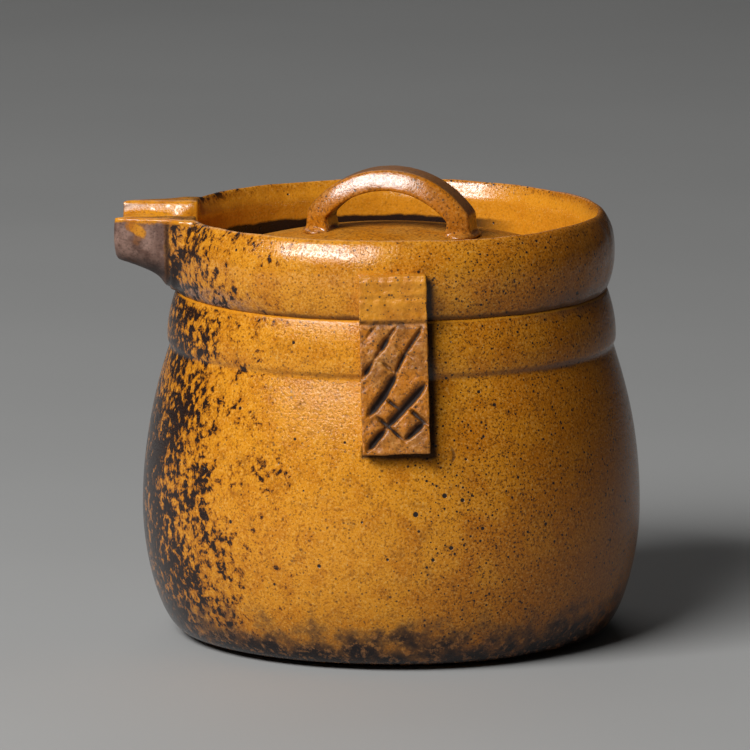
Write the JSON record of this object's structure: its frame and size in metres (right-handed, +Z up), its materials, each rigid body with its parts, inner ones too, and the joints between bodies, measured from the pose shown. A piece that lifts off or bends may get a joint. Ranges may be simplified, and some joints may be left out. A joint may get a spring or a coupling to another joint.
{
  "type": "pottery teapot",
  "caption": "Small hand-gripped pottery teapot with a rounded belly, rolled collar, open beak spout, carved grip lugs and a loose domed lid with a strap handle.",
  "frame": {"origin": "centre of the flat underside of the foot", "axes": "+Z up through the middle of the pot, -X towards the spout, -Y towards the front lug"},
  "size_m": [0.0927, 0.0908, 0.0826],
  "materials": {
    "amber_glaze": "wood-fired amber glaze with iron speckles, satin gloss",
    "scorched_glaze": "scorched purple-brown glaze, dry on the outside",
    "brown_glaze": "thin brown ash glaze, wet gloss on raised edges"
  },
  "bodies": {
    "pot": {"pot_body": "amber_glaze", "rim_collar": "amber_glaze", "lid_ledge": "amber_glaze", "spout_beak": "scorched_glaze", "front_lug": "brown_glaze", "back_lug": "brown_glaze"},
    "lid": {"lid_plate": "brown_glaze", "lid_flange": "brown_glaze", "lid_handle": "brown_glaze"}
  },
  "joints": [
    {"name": "lid_lift", "type": "slide", "parent": "pot", "child": "lid", "axis": [0, 0, 1], "range_m": [0, 0.045]}
  ]
}
